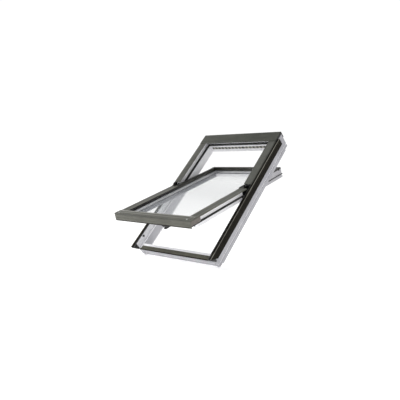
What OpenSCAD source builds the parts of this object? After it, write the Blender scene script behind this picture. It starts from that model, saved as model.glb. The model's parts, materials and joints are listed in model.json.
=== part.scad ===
// Centre-pivot roof window: a white frame set in the roof's slope and a glazed sash that turns about
// pivots at mid-length. Local coordinates on the roof: x across, y up the slope, z out of the roof.
// y = 0 is the outer face of the sill and z = 0 the front of the frame's white profile.

/* [Window] */
// Width over the frame's two stiles
frame_w = 780; // [660:10:940]
// Length of the frame up the slope
frame_l = 1190; // [1180:10:1400]
// Pitch of the roof that holds the window, in degrees
roof_pitch = 45; // [15:1:75]
// How far the sash stands open, in degrees
open_angle = 28.1; // [10:0.1:60]
// Turn of the sash from closed to its cleaning position, in degrees
clean_turn = 172.5; // [172:0.5:173.5]

/* [Frame] */
// Depth of the frame's profile
frame_d = 136; // [132:1:144]
// Width of a stile at the room side
stile_w = 38; // [38:1:42]
// Width of a stile in front of its step
stile_front_w = 23; // [22:1:24]
// Depth of the step below the frame's front
step_d = 48; // [48:1:50]
// Width of the head at the room side
head_w = 45; // [45:1:50]
// Width of the sill
sill_w = 46; // [44:1:47]
// Depth of the sill's top below the frame's front
sill_d = 50; // [50:1:52]
// Thickness of the sheet claddings
sheet_t = 1.2; // [0.8:0.1:1.4]

/* [Pivot] */
// Height of the pivot axis in front of the frame
pivot_z = 23; // [22:0.5:24]
// Distance of the pivot axis from the sill's outer face
pivot_y = 613; // [611:1:615]
// Radius of the pivot pins
pin_r = 6; // [5:0.5:6]
// Radial clearance of a pin in its eye
pin_clear = 0.05; // [0.02:0.01:0.08]

/* [Sash] */
// Half width of the sash's white profile
sash_hw = 345; // [345:1:345]
// Upper end of the sash, from the pivot axis
sash_top = 506; // [503:1:508]
// Lower end of the sash's white profile, from the pivot axis
sash_low = 641; // [639:1:643]
// Depth of the sash's room face below the frame's front
sash_d = 73; // [71:1:74]
// Half width of the clear glass
glass_hw = 304; // [300:1:306]
// Half width over the sash's grey side claddings
clad_hw = 375; // [374:1:375]
// Thickness of a glass pane
pane_t = 4; // [3:0.5:5]

/* [Vent] */
// Number of slots in the vent grille
slot_count = 17; // [9:2:17]
// Distance from slot to slot
slot_pitch = 36; // [34:1:36]
// Travel of the vent shutter
shutter_travel = 18; // [17:0.5:18]

/* [Hardware] */
// Travel of the barrel bolt
bolt_travel = 20; // [16:0.5:20]
// Radius of the barrel bolt
bolt_r = 4; // [3.5:0.1:4]

/* [Hidden] */
$fn = 48;
ARC_STEPS = 4;
frame_hw = frame_w / 2;
inner_hw = frame_hw - stile_w;
front_hw = frame_hw - stile_front_w;
head_y = frame_l - head_w;
head_front_y = frame_l - head_w * stile_front_w / stile_w;
back_z = frame_d - 14;
notch_w = 12;
notch_run = 38;
sill_mid_z = (sill_d + back_z) / 2;
groove_z = 95;
groove_h = 10;
groove_d = 6;
rebate = 3;
lining_z = frame_d - 18;
lining_d = 8;
// outer dark cladding on the frame's sides
band_in = frame_hw - 11;
band_out = frame_hw + 12.2;
band_z = 4.2;
band_low_y = -36;
band_top_y = frame_l - 60;
flange_z = -50;
gasket_h = 1.5;
cover_z = 16;
cover_in = frame_hw - 69;
cover_out = frame_hw - 7.5;
cover_start = pivot_y + 27;
hood_y0 = frame_l - 92;
hood_y1 = frame_l + 12;
hood_z = 18;
hood_hw = frame_hw - 4;
hood_drop = -38;
hood_end_drop = -20;
// sash heights, as they lie when it is closed
seat_z = -39;
glass_z = -12;
unit_d = 24;
pane_hw = glass_hw + 13;
pane_low = -601;
pane_top = sash_top - 28;
wall_hw = glass_hw + 17;
lip_hw = glass_hw;
rail_in_top = sash_top - 41;
rail_wall_top = sash_top - 24;
rail_wall_low = -605;
ledge_z = -45;
nose_out = -557;
nose_in = -490;
chamfer_z = -58;
chamfer_w = 12;
seal_z0 = -47.5;
seal_z1 = -41.5;
seal_out = 5.5;
clad_z = 12;
clad_lip_z = 2;
clad_start = -20;
clad_end = -587;
rail_clad_y = -651;
rail_clad_z = 14;
bead_z = 12;
bead_crest = 18;
// pivot hardware
hinge_hl = 40;
plate_t = 5;
eye_r = 10;
neck_hl = 13;
frame_plate_x = front_hw - plate_t;
hinge_screw_z = -23;
// latch and handle
handle_y = -530;
mortise_hw = 30;
mortise_y1 = -511;
mortise_z0 = -67;
mortise_z1 = -46;
latch_hw = 12;
latch_z0 = -64;
latch_z1 = -56;
latch_y0 = -555.5;
latch_y1 = -537;
case_wall = 1.6;
handle_neck_r = 6;
handle_base_z = -110;
spindle_r = 4;
// barrel bolt for the cleaning position
bolt_y = sash_top + 18;
bolt_z = -10;
bolt_tip = 346;
barrel_x0 = 300;
barrel_x1 = 340;
bush_y = pivot_y + bolt_y * cos(clean_turn) + (bolt_z - pivot_z) * sin(clean_turn);
bush_z = pivot_z - bolt_y * sin(clean_turn) + (bolt_z - pivot_z) * cos(clean_turn);
bush_bore_r = bolt_r + 0.6;
bush_r = bolt_r + 2;
bush_depth = 12;
bush_proud = 6;
// vent in the head
vent_z = -87;
slot_w = 22;
slot_h = 6;
shutter_slot_w = 13;
vent_hw = 330;
channel_hw = 325;
channel_h = 16;
channel_d = 17;
shutter_hw = 320;
knob_slot_w = slot_w + shutter_travel;
vent_ducts = 5;
duct_pitch = 120;

// ---- points and extrusions ----

function unit(v) = v / norm(v);
function xy(p) = [p[0], p[1]];

// Arc that rounds the corner p between its neighbours a and b
function corner_arc(a, p, b, r) =
    r == 0 ? [p] :
    let (
        u = unit(a - p),
        w = unit(b - p),
        half = acos(u * w) / 2,
        c = p + unit(u + w) * r / sin(half),
        start = p + u * r / tan(half) - c,
        finish = p + w * r / tan(half) - c,
        a0 = atan2(start.y, start.x),
        turn = atan2(finish.y, finish.x) - a0,
        sweep = turn > 180 ? turn - 360 : turn < -180 ? turn + 360 : turn
    )
    [for (i = [0:ARC_STEPS]) c + r * [cos(a0 + sweep * i / ARC_STEPS), sin(a0 + sweep * i / ARC_STEPS)]];

// Outline whose points are [x, y] or [x, y, radius]
function rounded(pts) =
    let (n = len(pts))
    [for (i = [0:n - 1])
        each corner_arc(xy(pts[(i + n - 1) % n]), xy(pts[i]), xy(pts[(i + 1) % n]),
            len(pts[i]) > 2 ? pts[i][2] : 0)];

// A section in (x, z), run up the slope
module along_y(y0, y1, pts) {
    translate([0, y1, 0]) rotate([90, 0, 0]) linear_extrude(y1 - y0) polygon(rounded(pts));
}

// A section in (y, z), run across
module along_x(x0, x1, pts) {
    translate([x0, 0, 0]) rotate([90, 0, 90]) linear_extrude(x1 - x0) polygon(rounded(pts));
}

// A plan in (x, y), run through the depth
module along_z(z0, z1, pts) {
    translate([0, 0, z0]) linear_extrude(z1 - z0) polygon(rounded(pts));
}

module block(x, y, z) {
    translate([x[0], y[0], z[0]]) cube([x[1] - x[0], y[1] - y[0], z[1] - z[0]]);
}

// A round bar along x from x0 to x1
module bar_x(x0, x1, y, z, r) {
    translate([x0, y, z]) rotate([0, 90, 0]) cylinder(h = x1 - x0, r = r);
}

module left_side() { mirror([1, 0, 0]) children(); }

module in_roof() {
    rotate([roof_pitch, 0, 0]) translate([0, 0, sill_mid_z]) children();
}

// Sash coordinates: y runs from the pivot axis, z is the height when closed
module in_sash() {
    in_roof() translate([0, pivot_y, pivot_z]) rotate([-open_angle, 0, 0])
        translate([0, 0, -pivot_z]) children();
}

// ---- frame profiles ----

// Plan of one side of the mitre between stile and head
module mitre_cut(head_side) {
    run = [stile_w, head_w];
    low = [inner_hw, head_y] - run;
    high = [frame_hw, frame_l] + run;
    corner = head_side ? [low.x, high.y] : [high.x, low.y];
    along_z(-frame_d - 1, 1, [low, high, corner]);
}

// Notches for the fixing brackets at the frame's four corners
module corner_notches() {
    for (y = [[-1, notch_run], [frame_l - notch_run, frame_l + 1]])
        block([frame_hw - notch_w, frame_hw + 1], y, [-frame_d - 1, -back_z]);
}

module stile_profile() {
    along_y(0, frame_l, [
        [frame_hw, 0, 2],
        [frame_hw, -groove_z],
        [frame_hw - groove_d, -groove_z],
        [frame_hw - groove_d, -groove_z - groove_h],
        [frame_hw, -groove_z - groove_h],
        [frame_hw, -back_z],
        [frame_hw - rebate, -back_z],
        [frame_hw - rebate, -frame_d, 1.5],
        [inner_hw + lining_d, -frame_d, 1.5],
        [inner_hw + lining_d, -lining_z],
        [inner_hw, -lining_z, 1],
        [inner_hw, -step_d, 1],
        [front_hw, -step_d],
        [front_hw, 0, 2]]);
}

module frame_stile() {
    difference() {
        stile_profile();
        mitre_cut(head_side = true);
        corner_notches();
    }
}

module frame_stile_right() { color("white") in_roof() frame_stile(); }

module frame_stile_left() {
    color("white") in_roof() left_side() difference() {
        frame_stile();
        bar_x(front_hw - 1, front_hw + bush_depth, bush_y, bush_z, bush_r);
    }
}

module head_profile() {
    along_x(-frame_hw, frame_hw, [
        [frame_l, 0, 2],
        [frame_l, -groove_z],
        [frame_l - groove_d, -groove_z],
        [frame_l - groove_d, -groove_z - groove_h],
        [frame_l, -groove_z - groove_h],
        [frame_l, -back_z],
        [frame_l - rebate, -back_z],
        [frame_l - rebate, -frame_d, 1.5],
        [head_y + lining_d, -frame_d, 1.5],
        [head_y + lining_d, -lining_z],
        [head_y, -lining_z, 1],
        [head_y, -step_d, 1],
        [head_front_y, -step_d],
        [head_front_y, 0, 2]]);
}

module frame_head() {
    duct_hw = 30;
    duct_h = 8;
    color("white") in_roof() difference() {
        head_profile();
        for (side = [0, 1]) mirror([side, 0, 0]) {
            mitre_cut(head_side = false);
            corner_notches();
        }
        block([-channel_hw, channel_hw], [head_y - 1, head_y + channel_d],
            [vent_z - channel_h / 2, vent_z + channel_h / 2]);
        for (i = [0:vent_ducts - 1]) {
            x = (i - (vent_ducts - 1) / 2) * duct_pitch;
            block([x - duct_hw, x + duct_hw], [head_y, frame_l + 1],
                [vent_z - duct_h / 2, vent_z + duct_h / 2]);
        }
    }
}

module frame_sill() {
    pocket_d = 12;
    color("white") in_roof() difference() {
        along_x(-inner_hw, inner_hw, [
            [0, -sill_d, 1.5],
            [sill_w, -sill_d, 1.5],
            [sill_w, -lining_z, 1],
            [sill_w - lining_d, -lining_z],
            [sill_w - lining_d, -frame_d, 1.5],
            [rebate, -frame_d, 1.5],
            [rebate, -back_z],
            [0, -back_z],
            [0, -groove_z - groove_h],
            [groove_d, -groove_z - groove_h],
            [groove_d, -groove_z],
            [0, -groove_z]]);
        block([-latch_hw - 3, latch_hw + 3], [sill_w - pocket_d, sill_w + 1],
            [latch_z0 - 3, latch_z1 + 1]);
    }
}

// ---- seals and gaskets of the frame ----

// Lip seal over the step's inner corner, round the upper half only
module frame_seal() {
    lip = 1;
    foot_w = 9;
    foot_h = 3;
    lip_h = 12;
    start = pivot_y + hinge_hl + 2;
    module seal_run(out_x, out_y, in_x, in_y, z) {
        difference() {
            block([-out_x, out_x], [start, out_y], z);
            block([-in_x, in_x], [start - 1, in_y], [z[0] - 1, z[1] + 1]);
        }
    }
    color([0.05, 0.05, 0.05]) in_roof() union() {
        seal_run(inner_hw + foot_w, head_y + foot_w, inner_hw - lip, head_y - lip,
            [-step_d, -step_d + foot_h]);
        seal_run(inner_hw, head_y, inner_hw - lip, head_y - lip, [-step_d - lip_h, -step_d]);
    }
}

module frame_gasket() {
    along_y(0, hood_y0, [
        [front_hw, 0],
        [front_hw, gasket_h, 0.5],
        [front_hw + 4, 0.8],
        [front_hw + 8, 0.8],
        [band_in, gasket_h, 0.5],
        [band_in, 0]]);
}

module frame_gasket_right() { color([0.05, 0.05, 0.05]) in_roof() frame_gasket(); }
module frame_gasket_left() { color([0.05, 0.05, 0.05]) in_roof() left_side() frame_gasket(); }

// ---- frame claddings ----

module side_cladding() {
    slant = 22;
    difference() {
        side_cladding_run();
        along_x(band_in - 1, band_out + 1, [
            [band_low_y - 1, 1],
            [band_low_y + slant, flange_z - 1],
            [band_low_y - 1, flange_z - 1]]);
    }
}

module side_cladding_run() {
    along_y(band_low_y, band_top_y, [
        [band_in, 0],
        [band_in, band_z, 0.8],
        [band_out, band_z, 1.6],
        [band_out, flange_z],
        [band_out - sheet_t, flange_z],
        [band_out - sheet_t, band_z - sheet_t],
        [band_in + sheet_t, band_z - sheet_t],
        [band_in + sheet_t, 0]]);
}

module side_cladding_right() { color([0.16, 0.15, 0.12]) in_roof() side_cladding(); }
module side_cladding_left() { color([0.16, 0.15, 0.12]) in_roof() left_side() side_cladding(); }

module upper_cover() {
    web_x = front_hw + 4;
    hem = 1.4;
    along_y(cover_start, hood_y0 + 2, [
        [cover_in, cover_z - hem],
        [cover_in, cover_z, 0.9],
        [cover_out, cover_z, 1.6],
        [cover_out, band_z],
        [cover_out - sheet_t, band_z],
        [cover_out - sheet_t, cover_z - sheet_t],
        [web_x + sheet_t, cover_z - sheet_t],
        [web_x + sheet_t, gasket_h],
        [web_x, gasket_h],
        [web_x, cover_z - sheet_t],
        [cover_in + sheet_t, cover_z - sheet_t],
        [cover_in + sheet_t, cover_z - hem]]);
}

module upper_cover_right() { color([0.37, 0.37, 0.34]) in_roof() upper_cover(); }
module upper_cover_left() { color([0.37, 0.37, 0.34]) in_roof() left_side() upper_cover(); }

module hood() {
    color([0.31, 0.32, 0.29]) in_roof() union() {
        along_x(-hood_hw, hood_hw, [
            [hood_y0, cover_z],
            [hood_y0, hood_z, 0.9],
            [hood_y1, hood_z, 3],
            [hood_y1, hood_drop],
            [hood_y1 - sheet_t, hood_drop],
            [hood_y1 - sheet_t, hood_z - sheet_t],
            [hood_y0 + sheet_t, hood_z - sheet_t],
            [hood_y0 + sheet_t, cover_z]]);
        for (side = [0, 1]) mirror([side, 0, 0])
            along_x(hood_hw - sheet_t, hood_hw, [
                [hood_y0 + 0.4, hood_z - sheet_t / 2],
                [hood_y0 + 0.4, band_z + 0.4],
                [frame_l + 3, band_z + 0.4],
                [frame_l + 3, hood_end_drop],
                [hood_y1 - sheet_t / 2, hood_end_drop],
                [hood_y1 - sheet_t / 2, hood_z - sheet_t / 2]]);
    }
}

// Black closing strip between the head and the hood
module hood_strip() {
    color([0.06, 0.06, 0.06]) in_roof()
        block([-front_hw + 1, front_hw - 1], [head_front_y, frame_l], [0, hood_z - sheet_t]);
}

module sill_cladding() {
    inner_y = 26;
    front_y = -3.6;
    drip_y = -6.6;
    hw = front_hw - 1;
    color([0.36, 0.36, 0.3]) in_roof() difference() {
        along_x(-hw, hw, [
            [inner_y, -sill_d],
            [inner_y, -sill_d + sheet_t],
            [front_y, -sill_d + sheet_t, 2],
            [front_y, -sill_d - 3],
            [drip_y, -sill_d - 5.5],
            [drip_y, -sill_d - 14],
            [drip_y + sheet_t, -sill_d - 14],
            [drip_y + sheet_t, -sill_d - 6],
            [front_y + sheet_t, -sill_d - 3.6],
            [front_y + sheet_t, -sill_d]]);
        for (side = [0, 1]) mirror([side, 0, 0])
            block([inner_hw - 0.3, hw + 1], [front_y + sheet_t, inner_y + 1],
                [-sill_d - 1, -sill_d + sheet_t + 1]);
    }
}

// Black plastic block that closes the stile's lower end
module end_cap() {
    along_x(front_hw - 0.5, band_out - sheet_t - 0.3, [
        [0, -0.2],
        [0, -step_d],
        [-10, -step_d - 4, 3],
        [-18, -step_d + 8, 4],
        [band_low_y + 3, -12, 4],
        [band_low_y, -0.2]]);
}

module end_cap_right() { color([0.07, 0.07, 0.07]) in_roof() end_cap(); }
module end_cap_left() { color([0.07, 0.07, 0.07]) in_roof() left_side() end_cap(); }

// ---- vent in the head ----

function slot_x(i) = (i - (slot_count - 1) / 2) * slot_pitch;

module vent_grille() {
    plate_h = 20;
    plate_d = 2;
    color([0.93, 0.93, 0.93]) in_roof() difference() {
        block([-vent_hw, vent_hw], [head_y - plate_d, head_y],
            [vent_z - plate_h / 2, vent_z + plate_h / 2]);
        for (i = [0:slot_count - 1]) {
            w = slot_x(i) == 0 ? knob_slot_w : slot_w;
            block([slot_x(i) - w / 2, slot_x(i) + w / 2], [head_y - plate_d - 1, head_y + 1],
                [vent_z - slot_h / 2, vent_z + slot_h / 2]);
        }
    }
}

module vent_shutter() {
    gap = 0.4;
    strip_t = 1.5;
    strip_h = 12;
    knob_x = -shutter_travel / 2;
    knob_hw = 3;
    knob_reach = 7.5;
    color([0.9, 0.9, 0.9]) in_roof() {
        difference() {
            block([-shutter_hw, shutter_hw - shutter_travel], [head_y + gap, head_y + gap + strip_t],
                [vent_z - strip_h / 2, vent_z + strip_h / 2]);
            for (i = [0:slot_count - 1]) if (slot_x(i) != 0)
                block([slot_x(i) - shutter_slot_w / 2, slot_x(i) + shutter_slot_w / 2],
                    [head_y, head_y + gap + strip_t + 1],
                    [vent_z - slot_h / 2, vent_z + slot_h / 2]);
        }
        block([knob_x - knob_hw, knob_x + knob_hw], [head_y - knob_reach, head_y + gap + strip_t / 2],
            [vent_z - slot_h / 2 + 0.4, vent_z + slot_h / 2 - 0.4]);
    }
}

// ---- pivots ----

module hinge_screw_places() {
    for (y = [-hinge_hl + 12, hinge_hl - 12]) translate([0, y, hinge_screw_z]) children();
}

// Plate on the stile with the pivot pin standing inwards from its eye
module hinge_frame() {
    translate([0, pivot_y, 0]) difference() {
        union() {
            along_x(frame_plate_x, front_hw, [
                [-hinge_hl, -step_d + 2, 3],
                [-hinge_hl, -12, 5],
                [-neck_hl, -3, 4],
                [-eye_r, pivot_z],
                [eye_r, pivot_z],
                [neck_hl, -3, 4],
                [hinge_hl, -12, 5],
                [hinge_hl, -step_d + 2, 3]]);
            bar_x(frame_plate_x, front_hw, 0, pivot_z, eye_r);
            bar_x(sash_hw + 0.4, front_hw, 0, pivot_z, pin_r);
            bar_x(sash_hw + plate_t + 0.6, frame_plate_x, 0, pivot_z, pin_r + 2.5);
        }
        hinge_screw_places() bar_x(frame_plate_x - 1, front_hw + 1, 0, 0, 2.5);
    }
}

module hinge_frame_right() { color([0.1, 0.1, 0.1]) in_roof() hinge_frame(); }
module hinge_frame_left() { color([0.1, 0.1, 0.1]) in_roof() left_side() hinge_frame(); }

module hinge_frame_screws() {
    color([0.7, 0.7, 0.72]) in_roof() for (side = [0, 1]) mirror([side, 0, 0])
        translate([0, pivot_y, 0]) hinge_screw_places() {
            bar_x(frame_plate_x - 2, frame_plate_x, 0, 0, 4.2);
            bar_x(frame_plate_x - 1, front_hw + 14, 0, 0, 2.2);
        }
}

// Plate on the sash's side with the eye that turns on the pin
module hinge_sash() {
    difference() {
        union() {
            along_x(sash_hw, sash_hw + plate_t, [
                [-hinge_hl, seal_z1 + 3, 6],
                [-hinge_hl, -12, 6],
                [-neck_hl, -3, 4],
                [-eye_r, pivot_z],
                [eye_r, pivot_z],
                [neck_hl, -3, 4],
                [hinge_hl, -12, 6],
                [hinge_hl, seal_z1 + 3, 6]]);
            bar_x(sash_hw, sash_hw + plate_t, 0, pivot_z, eye_r + 1);
        }
        bar_x(sash_hw - 1, sash_hw + plate_t + 1, 0, pivot_z, pin_r + pin_clear);
        hinge_screw_places() bar_x(sash_hw - 1, sash_hw + plate_t + 1, 0, 0, 2.5);
    }
}

module hinge_sash_right() { color([0.1, 0.1, 0.1]) in_sash() hinge_sash(); }
module hinge_sash_left() { color([0.1, 0.1, 0.1]) in_sash() left_side() hinge_sash(); }

module hinge_sash_screws() {
    color([0.7, 0.7, 0.72]) in_sash() for (side = [0, 1]) mirror([side, 0, 0])
        hinge_screw_places() {
            bar_x(sash_hw + plate_t, sash_hw + plate_t + 1.6, 0, 0, 4);
            bar_x(sash_hw - 16, sash_hw + plate_t + 1, 0, 0, 2.2);
        }
}

// ---- sash profiles ----

// Funnel that chamfers the room side of the opening in the sash
module inner_chamfer() {
    slope = chamfer_w / (sash_d + chamfer_z);
    reach = slope * (sash_d + chamfer_z + 1);
    intersection() {
        along_y(nose_in, rail_in_top + chamfer_w * 2, [
            [-glass_hw, chamfer_z],
            [glass_hw, chamfer_z],
            [glass_hw + reach, -sash_d - 1],
            [-glass_hw - reach, -sash_d - 1]]);
        along_x(-sash_hw, sash_hw, [
            [nose_in, chamfer_z],
            [rail_in_top, chamfer_z],
            [rail_in_top + reach, -sash_d - 1],
            [nose_in, -sash_d - 1]]);
    }
}

module sash_stile() {
    difference() {
        along_y(-sash_low, sash_top, [
            [glass_hw, -sash_d],
            [sash_hw, -sash_d, 2],
            [sash_hw, seal_z0],
            [sash_hw - 6, seal_z0],
            [sash_hw - 6, seal_z1],
            [sash_hw, seal_z1],
            [sash_hw, -2, 1],
            [wall_hw, -2],
            [wall_hw, seat_z],
            [glass_hw, seat_z, 1]]);
        inner_chamfer();
        block([glass_hw - 1, sash_hw + 1], [-sash_low - 1, nose_out], [-sash_d - 1, ledge_z]);
        block([glass_hw - 1, sash_hw + 1], [sash_top - 6, sash_top + 1], [seal_z0, seal_z1]);
    }
}

module sash_stile_right() { color("white") in_sash() sash_stile(); }
module sash_stile_left() { color("white") in_sash() left_side() sash_stile(); }

module sash_rail_top() {
    flange_y = sash_top + 18;
    flange_t = 10;
    color("white") in_sash() difference() {
        union() {
            along_x(-glass_hw, glass_hw, [
                [rail_in_top, -sash_d],
                [rail_in_top, seat_z, 1],
                [sash_top, seat_z],
                [sash_top, -sash_d]]);
            along_x(-wall_hw, wall_hw, [
                [rail_wall_top, seat_z],
                [rail_wall_top, -2],
                [sash_top, -2, 1],
                [sash_top, seat_z]]);
            along_x(-sash_hw, sash_hw, [
                [sash_top, -sash_d],
                [sash_top, -sash_d + flange_t],
                [flange_y, -sash_d + flange_t, 2],
                [flange_y, -sash_d, 2]]);
        }
        inner_chamfer();
        block([-wall_hw - 1, wall_hw + 1], [sash_top - 6, sash_top + 1], [seal_z0, seal_z1]);
    }
}

module sash_rail_bottom() {
    color("white") in_sash() difference() {
        union() {
            along_x(-glass_hw, glass_hw, [
                [-sash_low, seat_z],
                [nose_in, seat_z, 1],
                [nose_in, -sash_d, 2],
                [nose_out, -sash_d, 2],
                [nose_out, ledge_z],
                [-sash_low, ledge_z, 1]]);
            along_x(-wall_hw, wall_hw, [
                [-sash_low, seat_z],
                [-sash_low, -2, 1],
                [rail_wall_low, -2],
                [rail_wall_low, seat_z]]);
        }
        block([-mortise_hw, mortise_hw], [nose_out - 1, mortise_y1], [mortise_z0, mortise_z1]);
        translate([0, handle_y, -sash_d - 1]) cylinder(h = 8, r = handle_neck_r + 1);
    }
}

// ---- glazing ----

module pane(z) {
    along_z(z - pane_t, z, [
        [-pane_hw, pane_low, 1.5],
        [pane_hw, pane_low, 1.5],
        [pane_hw, pane_top, 1.5],
        [-pane_hw, pane_top, 1.5]]);
}

module pane_outer() { color([0.8, 0.9, 0.92, 0.35]) in_sash() pane(glass_z); }
module pane_inner() { color([0.8, 0.9, 0.92, 0.35]) in_sash() pane(glass_z - unit_d + pane_t); }

// Flat ring whose outer edge lies "edge" inside the panes
module glazing_ring(edge, width, z) {
    difference() {
        block([-pane_hw + edge, pane_hw - edge], [pane_low + edge, pane_top - edge], z);
        block([-pane_hw + edge + width, pane_hw - edge - width],
            [pane_low + edge + width, pane_top - edge - width], [z[0] - 1, z[1] + 1]);
    }
}

module spacer_bar() {
    color([0.7, 0.7, 0.72]) in_sash()
        glazing_ring(3, 9.5, [glass_z - unit_d + pane_t, glass_z - pane_t]);
}

module glazing_gasket() {
    color([0.06, 0.06, 0.06]) in_sash() glazing_ring(0, 12, [seat_z, glass_z - unit_d]);
}

// Bulb seal in the groove round the sash's sides and upper end
module sash_seal() {
    root = sash_hw - 5.8;
    out = sash_hw + seal_out;
    z = [seal_z0 + 0.1, seal_z1 - 0.1];
    color([0.05, 0.05, 0.05]) in_sash() union() {
        for (side = [0, 1]) mirror([side, 0, 0])
            along_y(-sash_low, sash_top + seal_out, [
                [root, z[0]], [sash_hw, z[0]], [out, z[0] + 1.5, 1], [out, z[1] - 1.5, 1],
                [sash_hw, z[1]], [root, z[1]]]);
        along_x(-sash_hw, sash_hw, [
            [sash_top - 5.8, z[0]], [sash_top, z[0]], [sash_top + seal_out, z[0] + 1.5, 1],
            [sash_top + seal_out, z[1] - 1.5, 1], [sash_top, z[1]], [sash_top - 5.8, z[1]]]);
    }
}

// ---- sash claddings ----

module sash_cladding() {
    web_x = sash_hw - 3;
    union() {
        along_y(clad_end, clad_start, [
            [lip_hw, glass_z],
            [lip_hw, clad_z, 1.6],
            [clad_hw, clad_z, 1.6],
            [clad_hw, clad_lip_z],
            [clad_hw - sheet_t, clad_lip_z],
            [clad_hw - sheet_t, clad_z - sheet_t],
            [web_x + sheet_t, clad_z - sheet_t],
            [web_x + sheet_t, -2],
            [web_x, -2],
            [web_x, clad_z - sheet_t],
            [lip_hw + sheet_t, clad_z - sheet_t],
            [lip_hw + sheet_t, glass_z]]);
        block([lip_hw + sheet_t / 2, clad_hw - sheet_t / 2], [clad_start - sheet_t, clad_start],
            [clad_lip_z, clad_z - sheet_t / 2]);
    }
}

module sash_cladding_right() { color([0.45, 0.45, 0.4]) in_sash() sash_cladding(); }
module sash_cladding_left() { color([0.45, 0.45, 0.4]) in_sash() left_side() sash_cladding(); }

// Rail cladding with a front plate that carries rolled ribs
module sash_cladding_bottom() {
    rib = 0.9;
    rib_pitch = 9;
    rib_count = 6;
    rib_top = rail_clad_z - 4;
    front_low = -44;
    ribs = [for (i = [0:rib_count - 1], s = [0, 1])
        [rail_clad_y - rib * (1 - s), rib_top - i * rib_pitch - s * 2.4 - 1]];
    color([0.48, 0.48, 0.43]) in_sash() union() {
        along_x(-clad_hw, clad_hw, concat([
            [clad_end, clad_lip_z],
            [clad_end, rail_clad_z, 1.6],
            [rail_clad_y, rail_clad_z, 3]],
            ribs,
            [[rail_clad_y, front_low],
            [rail_clad_y + sheet_t, front_low],
            [rail_clad_y + sheet_t, rail_clad_z - sheet_t],
            [clad_end - sheet_t, rail_clad_z - sheet_t],
            [clad_end - sheet_t, clad_lip_z]]));
        block([-glass_hw, glass_hw], [clad_end - sheet_t, clad_end], [glass_z, clad_lip_z + 1]);
        for (side = [0, 1]) mirror([side, 0, 0])
            block([clad_hw - sheet_t, clad_hw], [rail_clad_y + sheet_t / 2, clad_end - sheet_t / 2],
                [clad_lip_z, rail_clad_z - sheet_t / 2]);
    }
}

module glazing_bead() {
    along_y(clad_start, rail_in_top, [
        [lip_hw, glass_z],
        [lip_hw, bead_crest - 4, 1],
        [lip_hw + 4, bead_crest, 2],
        [lip_hw + 11, bead_crest, 2],
        [lip_hw + 15, bead_z, 1],
        [sash_hw - 1, bead_z, 2],
        [sash_hw, -2],
        [wall_hw, -2],
        [wall_hw, glass_z]]);
}

module glazing_bead_right() { color([0.13, 0.12, 0.11]) in_sash() glazing_bead(); }
module glazing_bead_left() { color([0.13, 0.12, 0.11]) in_sash() left_side() glazing_bead(); }

module glazing_bead_top() {
    color([0.13, 0.12, 0.11]) in_sash() difference() {
        along_x(-sash_hw, sash_hw, [
            [rail_in_top, glass_z],
            [rail_in_top, bead_crest - 4, 1],
            [rail_in_top + 4, bead_crest, 2],
            [rail_in_top + 11, bead_crest, 2],
            [rail_in_top + 15, bead_z, 1],
            [sash_top - 1, bead_z, 2],
            [sash_top, -2],
            [rail_wall_top, -2],
            [rail_wall_top, glass_z]]);
        for (side = [0, 1]) mirror([side, 0, 0])
            union() {
                block([wall_hw, sash_hw + 1], [rail_in_top - 1, rail_wall_top + 1], [glass_z - 1, -2]);
                block([lip_hw + 11, sash_hw + 1], [rail_in_top - 1, rail_in_top + 16],
                    [bead_z, bead_crest + 1]);
            }
    }
}

// Plastic block on the side of the sash's lower corner
module corner_cover() {
    x0 = sash_hw + 0.2;
    x1 = front_hw - 1.5;
    z_low = -32;
    z_top = -2;
    difference() {
        along_z(z_low, z_top, [
            [x0, rail_clad_y + 4],
            [x1, rail_clad_y + 4, 3],
            [x1, -550, 6],
            [x1 - 8, -536, 3],
            [x0, -536]]);
        block([x1 - 2, x1 + 1], [-600, -570], [z_low + 6, z_low + 9]);
    }
}

module corner_cover_right() { color([0.47, 0.44, 0.42]) in_sash() corner_cover(); }
module corner_cover_left() { color([0.47, 0.44, 0.42]) in_sash() left_side() corner_cover(); }

module cladding_screws() {
    head_r = 4;
    head_h = 1.6;
    color([0.8, 0.8, 0.8]) in_sash() for (side = [0, 1]) mirror([side, 0, 0])
        for (y = [rail_clad_y + 12, clad_end - 12])
            translate([clad_hw - 40, y, -12]) {
                cylinder(h = 12 + rail_clad_z + head_h - 0.01, r = 1.9);
                translate([0, 0, 12 + rail_clad_z]) cylinder(h = head_h, r1 = head_r, r2 = head_r - 1.4);
            }
}

// ---- latch and handle ----

module lock_case() {
    gap = 0.2;
    hw = mortise_hw - gap;
    y = [nose_out + gap, mortise_y1 - gap];
    z = [mortise_z0 + gap, mortise_z1 - gap];
    color([0.62, 0.62, 0.64]) in_sash() difference() {
        block([-hw, hw], y, z);
        block([-hw + case_wall, hw - case_wall], [y[0] + case_wall, y[1] - case_wall],
            [z[0] + case_wall, z[1] - case_wall]);
        block([-latch_hw - 0.4, latch_hw + 0.4], [y[0] - 1, y[0] + case_wall + 1],
            [latch_z0 - 0.4, latch_z1 + 0.4]);
        translate([0, handle_y, z[0] - 1]) cylinder(h = case_wall + 2, r = spindle_r + 0.1);
    }
}

module latch_bolt() {
    color([0.75, 0.75, 0.76]) in_sash() along_x(-latch_hw, latch_hw, [
        [latch_y0, latch_z0, 1],
        [latch_y0 + 4, latch_z1, 1],
        [latch_y1, latch_z1],
        [latch_y1, latch_z0]]);
}

module latch_keeper() {
    t = 1.5;
    plate_hw = 34;
    color([0.75, 0.75, 0.76]) in_roof() difference() {
        block([-plate_hw, plate_hw], [sill_w, sill_w + t], [latch_z0 - 11, latch_z1 + 3]);
        block([-latch_hw - 2, latch_hw + 2], [sill_w - 1, sill_w + t + 1],
            [latch_z0 - 2, latch_z1 + 1]);
    }
}

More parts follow.
